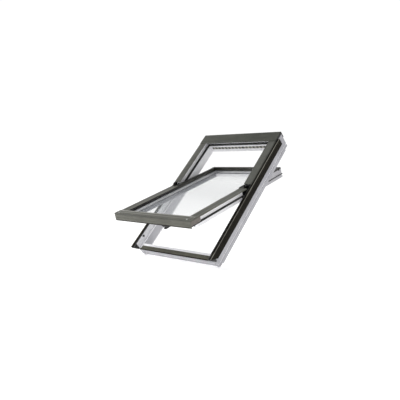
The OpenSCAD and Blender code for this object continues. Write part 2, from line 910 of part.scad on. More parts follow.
// Tapered plate on the room face that carries the lever's neck
module handle_base() {
    hw = 38;
    tip_hw = 15;
    hl = 12;
    foot = 4;
    color([0.13, 0.12, 0.11]) in_sash() difference() {
        along_y(handle_y - hl, handle_y + hl, [
            [-hw, -sash_d], [hw, -sash_d], [hw, -sash_d - foot, 2],
            [tip_hw, handle_base_z, 3], [-tip_hw, handle_base_z, 3], [-hw, -sash_d - foot, 2]]);
        translate([0, handle_y, handle_base_z - 1])
            cylinder(h = -sash_d - handle_base_z + 2, r = handle_neck_r + 0.05);
    }
}

// Lever: spindle, neck and a grip that runs up the slope
module handle_lever() {
    grip_l = 108;
    grip_z0 = -128;
    grip_z1 = -115;
    color([0.13, 0.12, 0.11]) in_sash() translate([0, handle_y, 0]) {
        translate([0, 0, -sash_d]) cylinder(h = 18, r = spindle_r);
        translate([0, 0, grip_z1 - 1]) cylinder(h = -sash_d - grip_z1 + 1, r = handle_neck_r);
        along_z(grip_z0, grip_z1, [
            [-11, -10, 9], [11, -10, 9], [9, grip_l - 30, 25],
            [8, grip_l, 5], [-8, grip_l, 5], [-9, grip_l - 30, 25]]);
    }
}

// ---- bolt that holds the sash in its cleaning position ----

module bolt_barrel() {
    half = 6;
    slot_hw = 2.3;
    color([0.72, 0.72, 0.74]) in_sash() left_side() difference() {
        block([barrel_x0, barrel_x1], [sash_top, bolt_y + half], [bolt_z - half, bolt_z + half]);
        bar_x(barrel_x0 - 1, barrel_x1 + 1, bolt_y, bolt_z, bolt_r + 0.05);
        block([barrel_x0 + 6, barrel_x0 + 12 + bolt_travel], [bolt_y - slot_hw, bolt_y + slot_hw],
            [bolt_z, bolt_z + half + 1]);
    }
}

module barrel_bolt() {
    knob_x = barrel_x0 + 9;
    color([0.78, 0.78, 0.8]) in_sash() left_side() {
        bar_x(barrel_x0 + 2, bolt_tip, bolt_y, bolt_z, bolt_r);
        translate([knob_x, bolt_y, bolt_z]) cylinder(h = 13, r = 1.8);
        translate([knob_x, bolt_y, bolt_z + 8]) cylinder(h = 5, r = 2.6);
    }
}

module bolt_bush() {
    flange_r = bush_r + 2;
    color([0.08, 0.08, 0.08]) in_roof() left_side() difference() {
        union() {
            bar_x(front_hw - bush_proud, front_hw, bush_y, bush_z, flange_r);
            bar_x(front_hw - 1, front_hw + bush_depth, bush_y, bush_z, bush_r);
        }
        bar_x(front_hw - bush_proud - 1, front_hw + bush_depth - 2, bush_y, bush_z, bush_bore_r);
    }
}

frame_stile_left();
frame_stile_right();
frame_head();
frame_sill();
frame_seal();
frame_gasket_left();
frame_gasket_right();
side_cladding_left();
side_cladding_right();
upper_cover_left();
upper_cover_right();
hood();
hood_strip();
sill_cladding();
end_cap_left();
end_cap_right();
vent_grille();
vent_shutter();
hinge_frame_left();
hinge_frame_right();
hinge_frame_screws();
latch_keeper();
bolt_bush();
sash_stile_left();
sash_stile_right();
sash_rail_top();
sash_rail_bottom();
pane_outer();
pane_inner();
spacer_bar();
glazing_gasket();
sash_seal();
sash_cladding_left();
sash_cladding_right();
sash_cladding_bottom();
glazing_bead_left();
glazing_bead_right();
glazing_bead_top();
corner_cover_left();
corner_cover_right();
hinge_sash_left();
hinge_sash_right();
hinge_sash_screws();
cladding_screws();
lock_case();
latch_bolt();
handle_base();
handle_lever();
bolt_barrel();
barrel_bolt();
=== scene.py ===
# Centre-pivot roof window standing open: cladding, glazing, seals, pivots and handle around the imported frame.
import json
import math

import bpy
from mathutils import Matrix, Vector


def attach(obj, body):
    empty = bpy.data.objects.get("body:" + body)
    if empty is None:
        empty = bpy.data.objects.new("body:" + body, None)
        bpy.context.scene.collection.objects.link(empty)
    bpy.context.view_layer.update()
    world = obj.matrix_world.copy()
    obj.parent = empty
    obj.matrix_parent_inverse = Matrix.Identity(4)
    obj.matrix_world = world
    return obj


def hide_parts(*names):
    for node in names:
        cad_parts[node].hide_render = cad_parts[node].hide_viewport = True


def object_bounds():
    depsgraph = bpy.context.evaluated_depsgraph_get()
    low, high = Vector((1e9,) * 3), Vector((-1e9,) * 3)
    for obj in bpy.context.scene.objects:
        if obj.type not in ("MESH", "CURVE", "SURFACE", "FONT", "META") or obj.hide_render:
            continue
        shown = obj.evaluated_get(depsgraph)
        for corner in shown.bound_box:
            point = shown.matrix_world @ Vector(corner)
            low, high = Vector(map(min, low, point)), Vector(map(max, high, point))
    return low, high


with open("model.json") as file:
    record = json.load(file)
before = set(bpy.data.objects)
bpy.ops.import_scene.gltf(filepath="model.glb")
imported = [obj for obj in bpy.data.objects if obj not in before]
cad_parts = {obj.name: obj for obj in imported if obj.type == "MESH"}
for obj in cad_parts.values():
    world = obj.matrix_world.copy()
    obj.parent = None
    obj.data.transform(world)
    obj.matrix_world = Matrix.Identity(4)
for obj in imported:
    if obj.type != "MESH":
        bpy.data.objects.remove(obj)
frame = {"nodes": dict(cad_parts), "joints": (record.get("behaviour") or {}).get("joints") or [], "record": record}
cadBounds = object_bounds()
record = frame["record"]
nodes = frame["nodes"]
bpy.ops.object.select_all(action="DESELECT")
print("frame loaded:", len(nodes), "nodes")

mm = 0.001

# Places on the roof in mm: x across, y up the slope from the sill's outer face, z out of the white front.
window = {
    "halfWidth": 390.0,
    "length": 1190.0,
    "sillMiddleZ": -86.0,
    "pivotY": 613.0,
    "pivotZ": 23.0,
    "sheet": 1.2,
}
# Places on the sash in mm, y from the pivot, z as it lies when closed.
sash = {
    "halfWidth": 345.0,
    "glassHalfWidth": 304.0,
    "claddingHalfWidth": 375.0,
    "claddingTop": 12.0,
    "claddingLip": 2.0,
    "sideStart": -20.0,
    "railInner": -587.0,
    "railOuter": -651.0,
    "railTop": 14.0,
    "railFoot": -44.0,
    "glassZ": -12.0,
    "sealLow": -47.5,
    "sealHigh": -41.5,
    "lowerEnd": -641.0,
    "upperEnd": 506.0,
    "upperInner": 465.0,
    "roomZ": -73.0,
}

sillMount = next(m for m in record["mounts"] if m["name"] == "sill_face")
pivotJoint = next(j for j in frame["joints"] if j["name"] == "sash_pivot")
pitch = math.atan2(-sillMount["axis"][2], -sillMount["axis"][1])
openTurn = math.radians(pivotJoint["range_deg"][0])

roofMatrix = Matrix.Rotation(pitch, 4, "X") @ Matrix.Translation((0, 0, -window["sillMiddleZ"] * mm))
sashMatrix = (
    roofMatrix
    @ Matrix.Translation((0, window["pivotY"] * mm, window["pivotZ"] * mm))
    @ Matrix.Rotation(openTurn, 4, "X")
    @ Matrix.Translation((0, 0, -window["pivotZ"] * mm))
)


# small shader language: sockets that add, multiply and mix

class Field:
    def __init__(self, tree, socket):
        self.tree = tree
        self.socket = socket

    def mathNode(self, operation, other=None):
        node = self.tree.nodes.new("ShaderNodeMath")
        node.operation = operation
        for slot, value in enumerate((self, other)):
            if isinstance(value, Field):
                self.tree.links.new(value.socket, node.inputs[slot])
            elif value is not None:
                node.inputs[slot].default_value = value
        return Field(self.tree, node.outputs[0])

    def __add__(self, other):
        return self.mathNode("ADD", other)

    def __sub__(self, other):
        return self.mathNode("SUBTRACT", other)

    def __mul__(self, other):
        return self.mathNode("MULTIPLY", other)

    def size(self):
        return self.mathNode("ABSOLUTE")

    def larger(self, other):
        return self.mathNode("MAXIMUM", other)

    def power(self, other):
        return self.mathNode("POWER", other)

    def sine(self):
        return self.mathNode("SINE")

    def between(self, low, high):
        node = self.tree.nodes.new("ShaderNodeMapRange")
        node.interpolation_type = "SMOOTHSTEP"
        node.inputs["From Min"].default_value = min(low, high)
        node.inputs["From Max"].default_value = max(low, high)
        node.inputs["To Min"].default_value = 0.0 if low < high else 1.0
        node.inputs["To Max"].default_value = 1.0 if low < high else 0.0
        self.tree.links.new(self.socket, node.inputs["Value"])
        return Field(self.tree, node.outputs["Result"])

    def tint(self, low, high):
        node = self.tree.nodes.new("ShaderNodeMix")
        node.data_type = "RGBA"
        for name, colour in (("A", low), ("B", high)):
            socket = next(s for s in node.inputs if s.name == name and s.type == "RGBA")
            if isinstance(colour, Field):
                self.tree.links.new(colour.socket, socket)
            else:
                socket.default_value = (*colour, 1.0)
        self.tree.links.new(self.socket, node.inputs["Factor"])
        return Field(self.tree, next(s for s in node.outputs if s.type == "RGBA"))


# a material with its Principled shader and the textures that feed it
class Finish:
    def __init__(self, name):
        self.material = bpy.data.materials.new(name)
        self.material.use_nodes = True
        self.tree = self.material.node_tree
        self.shader = self.tree.nodes["Principled BSDF"]
        self.coordinates = self.tree.nodes.new("ShaderNodeTexCoord").outputs["Object"]

    def set(self, **values):
        for name, value in values.items():
            self.shader.inputs[name.replace("_", " ")].default_value = value
        return self

    def feed(self, name, field):
        self.tree.links.new(field.socket, self.shader.inputs[name])
        return self

    def noise(self, scale, detail=3.0, rough=0.5, stretch=(1, 1, 1)):
        mapping = self.tree.nodes.new("ShaderNodeMapping")
        mapping.inputs["Scale"].default_value = stretch
        node = self.tree.nodes.new("ShaderNodeTexNoise")
        node.inputs["Scale"].default_value = scale
        node.inputs["Detail"].default_value = detail
        node.inputs["Roughness"].default_value = rough
        self.tree.links.new(self.coordinates, mapping.inputs["Vector"])
        self.tree.links.new(mapping.outputs["Vector"], node.inputs["Vector"])
        return Field(self.tree, node.outputs["Fac"])

    def edges(self, low, high):
        geometry = self.tree.nodes.new("ShaderNodeNewGeometry")
        return Field(self.tree, geometry.outputs["Pointiness"]).between(low, high)

    def axis(self, letter):
        split = self.tree.nodes.new("ShaderNodeSeparateXYZ")
        self.tree.links.new(self.coordinates, split.inputs[0])
        return Field(self.tree, split.outputs[letter])

    def facing(self, blend):
        node = self.tree.nodes.new("ShaderNodeLayerWeight")
        node.inputs["Blend"].default_value = blend
        return Field(self.tree, node.outputs["Facing"])

    def bump(self, field, strength, distance):
        node = self.tree.nodes.new("ShaderNodeBump")
        node.inputs["Strength"].default_value = strength
        node.inputs["Distance"].default_value = distance
        self.tree.links.new(field.socket, node.inputs["Height"])
        self.tree.links.new(node.outputs["Normal"], self.shader.inputs["Normal"])
        return self


# finishes

def whiteLacquer(name, primerAndShade, greyShade, greyLight):
    # the mask given as its second argument says where the grey shows: a greyer priming coat on faces the flashing
    # hides, and painted shade on walls in shade
    look = {"shade": (0.83, 0.825, 0.85), "light": (0.90, 0.898, 0.912), "orangePeel": 260, "grain": 60}
    paint = Finish(name)
    cloud = paint.noise(9, 4)
    grain = paint.noise(look["grain"], 4, 0.6, (1.0, 0.12, 0.12))
    peel = paint.noise(look["orangePeel"], 2)
    tone = (cloud * 0.5 + grain * 0.5).between(0.36, 0.64)
    plain = tone.tint(look["shade"], look["light"])
    grey = tone.tint(greyShade, greyLight)
    paint.feed("Base Color", primerAndShade(paint).tint(plain, grey))
    paint.feed("Roughness", cloud * 0.12 + 0.30)
    paint.bump(peel, 0.08, 0.0006)
    return paint.set(Specular_IOR_Level=0.4).material


def wallAt(across, distance):
    # a thin layer round the walls that stand at this distance from the middle
    layer = {"start": 4.0 * mm, "full": 3.5 * mm, "fade": 0.3 * mm}
    inside = across.between(distance - layer["start"], distance - layer["full"])
    return inside * across.between(distance, distance - layer["fade"])


def primerAndWallShade(paint):
    # full on the faces that the flashing hides, partly a greyer primer and partly painted shade, and part of it on
    # the lower inner walls of the stiles as painted shade
    greyZone = {"edge": 386.8, "inner": 352.4, "front": 367.3, "stepShare": 0.45, "lowShare": 0.8,
            "everywhere": 0.08}
    across = paint.axis("X").size()
    upSlope = (paint.axis("Y") * math.cos(pitch)) + (paint.axis("Z") * math.sin(pitch))
    outSlope = (paint.axis("Z") * math.cos(pitch)) - (paint.axis("Y") * math.sin(pitch))
    sides = across.between(greyZone["edge"] * mm - 0.0004, greyZone["edge"] * mm)
    outer = sides.larger(upSlope.between(0.0008, 0.0002))
    lowerHalf = upSlope.between(0.66, 0.60)
    deepWall = wallAt(across, greyZone["inner"] * mm) * outSlope.between(0.037, 0.035)
    stepWall = wallAt(across, greyZone["front"] * mm) * greyZone["stepShare"]
    return outer.larger(deepWall.larger(stepWall) * (lowerHalf * greyZone["lowShare"] + greyZone["everywhere"]))


def sashWallShade(paint):
    # painted shade: full on the walls in the shade of the glass, and part of it on the outer sides of the half
    # that stands in the room
    greyZone = {"edge": 316.5, "side": 344.4, "sideShare": 0.6}
    across = paint.axis("X").size()
    roomHalf = paint.axis("Z").between(0.46, 0.485)
    inner = across.between(greyZone["edge"] * mm, greyZone["edge"] * mm - 0.0005)
    sides = across.between(greyZone["side"] * mm, greyZone["side"] * mm + 0.0003)
    return inner.larger(sides * roomHalf * greyZone["sideShare"])


def coilCoating(name, dark, light, roughness, specular, edgeHighlight=0.3):
    look = {"fleckScale": 1500, "streakScale": 30, "dustScale": 7}
    paint = Finish(name)
    fleck = paint.noise(look["fleckScale"], 2, 0.7)
    streak = paint.noise(look["streakScale"], 4, 0.6, (0.15, 1.0, 1.0))
    dust = paint.noise(look["dustScale"], 5, 0.6)
    tone = (streak * 0.5 + dust * 0.5).between(0.36, 0.64)
    body = tone.tint(dark, light)
    # painted highlight: the edges turn lighter, by pointiness
    edgeHighlightColour = tuple(min(1.0, c * 1.55 + 0.012) for c in light)
    body = (paint.edges(0.55, 0.66) * edgeHighlight).tint(body, edgeHighlightColour)
    sparkle = fleck.between(0.62, 0.72)
    paint.feed("Base Color", (sparkle * 0.18).tint(body, tuple(min(1.0, c * 2.0) for c in light)))
    paint.feed("Roughness", tone * 0.1 + roughness)
    paint.bump(fleck, 0.06, 0.0003)
    return paint.set(Specular_IOR_Level=specular).material


def rubber(name, dark, light):
    seal = Finish(name)
    grain = seal.noise(700, 3, 0.6)
    bloom = seal.noise(24, 5, 0.6)
    seal.feed("Base Color", bloom.between(0.4, 0.7).tint(dark, light))
    seal.feed("Roughness", bloom * 0.25 + 0.55)
    seal.bump(grain, 0.15, 0.0004)
    return seal.material


def closingStrip():
    # painted highlight: light above its black foot
    look = {"foot": 7.0, "dark": (0.012, 0.012, 0.012), "light": (0.80, 0.80, 0.80)}
    strip = Finish("closingStrip")
    cloud = strip.noise(24, 4)
    height = (strip.axis("Z") * math.cos(pitch)) - (strip.axis("Y") * math.sin(pitch))
    foot = (look["foot"] - window["sillMiddleZ"]) * mm
    upper = height.between(foot - 0.0002, foot + 0.0002)
    strip.feed("Base Color", upper.tint(look["dark"], look["light"]))
    strip.feed("Roughness", cloud * 0.2 + 0.5)
    return strip.material


def mouldedPlastic(name, dark, light, slotPitch=None):
    shell = Finish(name)
    grain = shell.noise(900, 2, 0.6)
    cloud = shell.noise(18, 4)
    body = cloud.between(0.35, 0.68).tint(dark, light)
    # painted highlight: the edges turn lighter, by pointiness
    litEdge = tuple(min(1.0, c * 1.6 + 0.01) for c in light)
    body = (shell.edges(0.54, 0.64) * 0.3).tint(body, litEdge)
    if slotPitch:
        # painted shade: a dark bar lies round each slot of the grille
        bar = (shell.axis("X") * (2 * math.pi / (slotPitch * mm)) + math.pi / 2).sine().between(-0.1, 0.2)
        body = (bar * 0.9).tint(body, (0.02, 0.02, 0.018))
    shell.feed("Base Color", body)
    shell.feed("Roughness", cloud * 0.15 + 0.38)
    shell.bump(grain, 0.18, 0.0004)
    return shell.material


def clearGlass():
    look = {"body": 0.07, "rim": 0.07, "rimPower": 3.0}
    glass = Finish("clearGlass")
    haze = glass.noise(5, 4)
    rim = glass.facing(0.5).power(look["rimPower"]) * look["rim"]
    glass.feed("Alpha", rim + look["body"] + haze * 0.01)
    glass.feed("Roughness", haze * 0.02 + 0.02)
    return glass.set(Base_Color=(0.30, 0.33, 0.34, 1.0), IOR=1.5).material


def metal(name, dark, light, roughness, scratchStretch):
    steel = Finish(name)
    scratches = steel.noise(400, 3, 0.6, scratchStretch)
    cloud = steel.noise(30, 3)
    steel.feed("Base Color", (scratches * 0.6 + cloud * 0.4).between(0.35, 0.65).tint(dark, light))
    steel.feed("Roughness", scratches * 0.15 + roughness)
    steel.bump(scratches, 0.07, 0.0002)
    return steel.set(Metallic=1.0).material


# the frame's grey is partly a greyer primer and partly painted shade
white = whiteLacquer("whiteLacquer", primerAndWallShade, (0.37, 0.368, 0.395), (0.46, 0.457, 0.485))
# painted shade: the stiles' walls under the glass and in the room take a dark lilac grey
sashShadedWhite = whiteLacquer("sashShadedLacquer", sashWallShade, (0.15, 0.146, 0.168), (0.20, 0.196, 0.22))
greySheet = coilCoating("umberGreySheet", (0.098, 0.098, 0.082), (0.132, 0.132, 0.112), 0.42, 0.2)
# darker copies of the one cladding grey for the covers and the hood: painted shade
shadedCoverSheet = coilCoating("shadedCoverSheet", (0.070, 0.071, 0.062), (0.096, 0.097, 0.086), 0.44, 0.14)
shadedHoodSheet = coilCoating("shadedHoodSheet", (0.050, 0.052, 0.044), (0.072, 0.074, 0.063), 0.44, 0.12)
# painted shade and dark reflection: a near-black copy of the cladding colour for the side bands, grooves and lower
# faces
shadeSheet = coilCoating("shadeBrownSheet", (0.0065, 0.0055, 0.0035), (0.013, 0.011, 0.007), 0.42, 0.05, 0.5)
# painted highlights: lighter copies of the cladding grey and brown for lit strips
highlightSheet = coilCoating("highlightGreySheet", (0.150, 0.150, 0.132), (0.205, 0.205, 0.182), 0.42, 0.25)
highlightBandSheet = coilCoating("highlightBrownSheet", (0.11, 0.105, 0.09), (0.19, 0.18, 0.155), 0.36, 0.3)
# a darker copy of the cladding grey for the sill sheet: painted shade
sillSheet = coilCoating("sillSheet", (0.075, 0.073, 0.056), (0.108, 0.105, 0.083), 0.44, 0.15)
ventGrey = mouldedPlastic("ventPlastic", (0.40, 0.385, 0.33), (0.50, 0.485, 0.42), 36.0)
beadBlack = mouldedPlastic("beadPlastic", (0.014, 0.014, 0.011), (0.030, 0.030, 0.025))
sealRubber = rubber("sealRubber", (0.008, 0.008, 0.008), (0.022, 0.022, 0.021))
greyRubber = rubber("glazingRubber", (0.20, 0.20, 0.215), (0.27, 0.27, 0.285))
# black foot with a painted highlight above it
highlightedStrip = closingStrip()
blackPlastic = mouldedPlastic("capPlastic", (0.010, 0.010, 0.010), (0.022, 0.022, 0.022))
taupePlastic = mouldedPlastic("cornerPlastic", (0.135, 0.118, 0.106), (0.185, 0.163, 0.148))
glassFinish = clearGlass()
spacerMetal = metal("spacerAluminium", (0.45, 0.45, 0.46), (0.62, 0.62, 0.63), 0.3, (1, 1, 8))
brightSteel = metal("zincSteel", (0.48, 0.48, 0.50), (0.66, 0.66, 0.67), 0.25, (8, 1, 1))
darkSteel = metal("blackSteel", (0.012, 0.012, 0.013), (0.030, 0.030, 0.032), 0.32, (1, 8, 1))
print("finishes mixed")

nodeFinish = {
    white: ("frame_stile_left", "frame_stile_right", "frame_head", "frame_sill", "sash_rail_top",
            "sash_rail_bottom"),
    sashShadedWhite: ("sash_stile_left", "sash_stile_right"),
    sealRubber: ("frame_seal", "sash_seal", "frame_gasket_left", "frame_gasket_right"),
    greyRubber: ("glazing_gasket",),
    highlightedStrip: ("hood_strip",),
    glassFinish: ("pane_outer", "pane_inner"),
    spacerMetal: ("spacer_bar",),
    brightSteel: ("hinge_frame_screws", "hinge_sash_screws", "latch_keeper", "lock_case", "latch_bolt",
                  "bolt_barrel", "barrel_bolt"),
    darkSteel: ("hinge_frame_left", "hinge_frame_right", "hinge_sash_left", "hinge_sash_right"),
    blackPlastic: ("bolt_bush", "vent_shutter"),
    ventGrey: ("vent_grille",),
}
for material, names in nodeFinish.items():
    for nodeName in names:
        mesh = nodes[nodeName].data
        mesh.materials.clear()
        mesh.materials.append(material)


# modelling helpers

def place(across, up, out):
    return Vector((across, up, out)) * mm


def editAll():
    bpy.ops.object.mode_set(mode="EDIT")
    bpy.ops.mesh.select_mode(type="VERT")
    bpy.ops.mesh.select_all(action="SELECT")


def drawSection(name, points, run, filled=False):
    # one vertex is drawn along the section, and the section is drawn along the run
    bpy.ops.object.select_all(action="DESELECT")
    bpy.ops.mesh.primitive_plane_add(size=mm)
    piece = bpy.context.object
    piece.name = name
    piece.data.name = name
    editAll()
    bpy.ops.mesh.merge(type="CENTER")
    bpy.ops.transform.translate(value=points[0])
    for start, end in zip(points, points[1:]):
        bpy.ops.mesh.extrude_vertices_move(TRANSFORM_OT_translate={"value": end - start})
    bpy.ops.mesh.select_all(action="SELECT")
    if filled:
        bpy.ops.mesh.edge_face_add()
    bpy.ops.mesh.extrude_region_move(TRANSFORM_OT_translate={"value": run})
    bpy.ops.mesh.select_all(action="SELECT")
    bpy.ops.mesh.normals_make_consistent(inside=False)
    bpy.ops.object.mode_set(mode="OBJECT")
    return piece


def applyModifier(piece, kind, **settings):
    bpy.context.view_layer.objects.active = piece
    modifier = piece.modifiers.new(kind.title(), kind)
    for name, value in settings.items():
        setattr(modifier, name, value)
    bpy.ops.object.modifier_apply(modifier=modifier.name)


def roundEdges(piece, width, segments=3, angle=32):
    applyModifier(piece, "BEVEL", width=width * mm, segments=segments, limit_method="ANGLE",
                  angle_limit=math.radians(angle), harden_normals=False)


def thicken(piece, thickness, offset=-1.0):
    applyModifier(piece, "SOLIDIFY", thickness=thickness * mm, offset=offset, use_even_offset=True)


def cutAway(piece, point, normal):
    # what lies on the normal's side of the plane goes, and the cut is closed
    editAll()
    bpy.ops.mesh.bisect(plane_co=point, plane_no=normal, use_fill=True, clear_outer=True)
    bpy.ops.object.mode_set(mode="OBJECT")


def joinPieces(pieces):
    bpy.ops.object.select_all(action="DESELECT")
    for piece in pieces:
        piece.select_set(True)
    bpy.context.view_layer.objects.active = pieces[0]
    bpy.ops.object.join()
    return pieces[0]


def mirrored(piece, name):
    bpy.ops.object.select_all(action="DESELECT")
    piece.select_set(True)
    bpy.context.view_layer.objects.active = piece
    bpy.ops.object.duplicate()
    twin = bpy.context.object
    twin.name = name
    twin.data.name = name
    twin.scale = (-1, 1, 1)
    bpy.ops.object.transform_apply(location=False, rotation=False, scale=True)
    editAll()
    bpy.ops.mesh.normals_make_consistent(inside=False)
    bpy.ops.object.mode_set(mode="OBJECT")
    return twin


def fit(piece, material, body, matrix, standsFor, smoothAngle=35):
    bpy.ops.object.select_all(action="DESELECT")
    piece.select_set(True)
    bpy.context.view_layer.objects.active = piece
    piece.matrix_world = matrix
    bpy.ops.object.transform_apply(location=True, rotation=True, scale=True)
    bpy.ops.object.shade_smooth_by_angle(angle=math.radians(smoothAngle))
    if piece.data.materials:
        piece.data.materials[0] = material
    else:
        piece.data.materials.append(material)
    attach(piece, body)
    if standsFor:
        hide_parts(*standsFor)
    return piece


def paintFaces(piece, material, chosen):
    # a second finish on the faces whose middle is chosen, in the piece's own axes
    piece.data.materials.append(material)
    for face in piece.data.polygons:
        if chosen(face.center / mm, face.normal):
            face.material_index = len(piece.data.materials) - 1


def fitPair(piece, material, body, matrix, node):
    left = mirrored(piece, piece.name.replace("Right", "Left"))
    fit(piece, material, body, matrix, [node + "_right"])
    fit(left, material, body, matrix, [node + "_left"])


def arc(centre, radius, start, stop, steps):
    angles = [math.radians(start + (stop - start) * i / steps) for i in range(steps + 1)]
    return [(centre[0] + radius * math.cos(a), centre[1] + radius * math.sin(a)) for a in angles]


def drawAcross(name, outline, start, stop, filled=False):
    return drawSection(name, [place(start, y, z) for y, z in outline], place(stop - start, 0, 0), filled)


def drawAlong(name, outline, start, stop, filled=False):
    return drawSection(name, [place(x, start, z) for x, z in outline], place(0, stop - start, 0), filled)


# frame: side bands, covers, hood, sill sheet

def sideBands():
    band = {"inner": 379.0, "outer": 402.2, "top": 4.2, "flange": -50.0, "low": -36.0, "high": 1130.0,
            "groove": 4.0, "slant": 22.0, "litEdge": 9.0}
    outline = [
        (band["inner"], 0.0),
        (band["inner"], band["top"] - 0.6),
        (band["inner"] + 0.6, band["top"]),
        (band["inner"] + band["groove"], band["top"]),
        (band["inner"] + band["groove"] + 1.0, band["top"] - 1.3),
        (band["inner"] + band["groove"] + 3.0, band["top"] - 1.3),
        (band["inner"] + band["groove"] + 4.0, band["top"]),
        (band["outer"] - band["litEdge"], band["top"]),
        (band["outer"] - band["litEdge"] + 0.6, band["top"]),
        *arc((band["outer"] - 3.0, band["top"] - 3.0), 3.0, 90, 0, 5),
        (band["outer"], -10.0),
        (band["outer"] - 1.0, -11.4),
        (band["outer"] - 1.0, -14.6),
        (band["outer"], -16.0),
        (band["outer"], -32.0),
        (band["outer"] - 0.8, -33.2),
        (band["outer"] - 0.8, -35.6),
        (band["outer"], -36.8),
        (band["outer"], band["flange"] + 2.0),
        (band["outer"] - 2.5, band["flange"]),
    ]
    piece = drawAlong("sideBandRight", outline, band["low"], band["high"])
    thicken(piece, window["sheet"])
    tall = band["top"] - band["flange"]
    cutAway(piece, place(0, band["low"], band["top"]), Vector((0, -tall, -band["slant"])))
    roundEdges(piece, 0.35, 2)
    # painted shade and dark reflection over the band, with a painted highlight strip along the outer edge of its
    # top
    piece.data.materials.append(shadeSheet)
    paintFaces(piece, highlightBandSheet, lambda at, facing: facing.z > 0.75
               and at.x > band["outer"] - band["litEdge"] + 0.5)
    fitPair(piece, shadeSheet, "frame", roofMatrix, "side_cladding")


def gasketStrips():
    strip = {"inner": 367.2, "outer": 379.0, "top": 1.5, "low": 0.0, "high": 1090.0}
    outline = [(strip["inner"], 0.05), *arc((strip["inner"] + 1.4, strip["top"] - 1.4), 1.4, 180, 40, 5),
               (strip["inner"] + 4.0, 0.8), (strip["outer"] - 3.0, 0.8), (strip["outer"] - 2.0, strip["top"]),
               (strip["outer"], strip["top"]), (strip["outer"], 0.05)]
    piece = drawAlong("gasketStripRight", outline, strip["low"], strip["high"], True)
    fitPair(piece, sealRubber, "frame", roofMatrix, "frame_gasket")


def upperCovers():
    cover = {"inner": 321.0, "outer": 382.5, "top": 16.0, "low": 640.0, "high": 1100.0, "foot": 4.4,
             "web": 372.0, "gasketTop": 1.6}
    outline = [
        (cover["inner"] + 3.0, cover["top"] - 1.5),
        (cover["inner"], cover["top"] - 1.5),
        (cover["inner"], cover["top"] - 0.4),
        (cover["inner"] + 8.0, cover["top"]),
        (cover["inner"] + 9.0, cover["top"] - 0.9),
        (cover["inner"] + 11.0, cover["top"] - 0.9),
        (cover["inner"] + 12.0, cover["top"]),
        (cover["outer"] - 14.0, cover["top"]),
        *arc((cover["outer"] - 4.0, cover["top"] - 4.0), 4.0, 90, 0, 5),
        (cover["outer"], cover["foot"]),
    ]
    shell = drawAlong("upperCoverRight", outline, cover["low"], cover["high"])
    thicken(shell, window["sheet"])
    webOutline = [(cover["web"], cover["gasketTop"]), (cover["web"], cover["top"] - 1.0)]
    web = drawAlong("coverWeb", webOutline, cover["low"] + 2, cover["high"] - 2)
    thicken(web, window["sheet"])
    piece = joinPieces([shell, web])
    roundEdges(piece, 0.35, 2)
    fitPair(piece, shadedCoverSheet, "frame", roofMatrix, "upper_cover")


def hoodCover():
    hood = {"front": 1098.0, "back": 1202.0, "top": 18.0, "hem": 16.1, "halfWidth": 386.0, "drop": -38.0,
            "endFoot": 4.7, "rearFoot": -20.0, "headBack": 1193.0, "bead": 1.1, "bandEnd": 1131.5,
            "frontFace": 0.6}
    outline = [
        (hood["front"] + 5.0, hood["hem"]),
        (hood["front"], hood["hem"]),
        *arc((hood["front"] + 1.0, hood["top"] - 1.0), 1.0, 180, 90, 3),
        (hood["front"] + 16.0, hood["top"]),
        (hood["front"] + 17.2, hood["top"] - hood["bead"]),
        (hood["front"] + 20.2, hood["top"] - hood["bead"]),
        (hood["front"] + 21.4, hood["top"]),
        (hood["back"] - 26.0, hood["top"]),
        *arc((hood["back"] - 5.0, hood["top"] - 5.0), 5.0, 90, 0, 6),
        (hood["back"], hood["drop"] + 3.0),
        (hood["back"] - 2.0, hood["drop"]),
    ]
    shell = drawAcross("hoodCover", outline, -hood["halfWidth"], hood["halfWidth"])
    thicken(shell, window["sheet"], 1.0)
    parts = [shell]
    endOutline = [
        (hood["front"] + 0.8, hood["top"] - 0.8),
        (hood["front"] + 0.8, hood["endFoot"] + 3.0),
        (hood["front"] + 4.0, hood["endFoot"]),
        (hood["bandEnd"], hood["endFoot"]),
        (hood["bandEnd"], hood["frontFace"]),
        (hood["headBack"], hood["frontFace"]),
        (hood["headBack"], hood["rearFoot"]),
        (hood["back"] - 1.0, hood["rearFoot"]),
        (hood["back"] - 1.0, hood["top"] - 4.0),
        (hood["back"] - 5.0, hood["top"] - 0.8),
    ]
    for side in (-1, 1):
        parts.append(drawAcross("hoodEnd", endOutline, side * hood["halfWidth"],
                                side * (hood["halfWidth"] - window["sheet"]), True))
    piece = joinPieces(parts)
    roundEdges(piece, 0.3, 2)
    piece.data.materials.append(shadedHoodSheet)
    paintFaces(piece, blackPlastic, lambda at, facing: abs(at.x) > hood["halfWidth"] - 1.6
               and abs(facing.x) > 0.5)
    fit(piece, shadedHoodSheet, "frame", roofMatrix, ["hood"])


def sillSheetPiece():
    sill = {"halfWidth": 366.0, "inner": 26.0, "front": -3.6, "drip": -6.6, "top": -48.8, "foot": -64.0}
    outline = [
        (sill["inner"], sill["top"] - 0.6),
        (sill["inner"] - 1.0, sill["top"]),
        (8.0, sill["top"]),
        (7.0, sill["top"] - 0.5),
        (4.5, sill["top"] - 0.5),
        (3.5, sill["top"]),
        *arc((sill["front"] + 2.0, sill["top"] - 2.0), 2.0, 90, 180, 4),
        (sill["front"], sill["top"] - 4.0),
        (sill["drip"], sill["top"] - 6.6),
        (sill["drip"], sill["foot"] + 1.0),
        (sill["drip"] + 1.0, sill["foot"]),
    ]
    piece = drawAcross("sillSheet", outline, -sill["halfWidth"], sill["halfWidth"])
    thicken(piece, window["sheet"])
    roundEdges(piece, 0.3, 2)
    piece.data.materials.append(sillSheet)
    # painted shade: the near-black sheet on the lower drop
    paintFaces(piece, shadeSheet, lambda at, facing: at.z < sill["top"] - 2.5)
    fit(piece, sillSheet, "frame", roofMatrix, ["sill_cladding"])


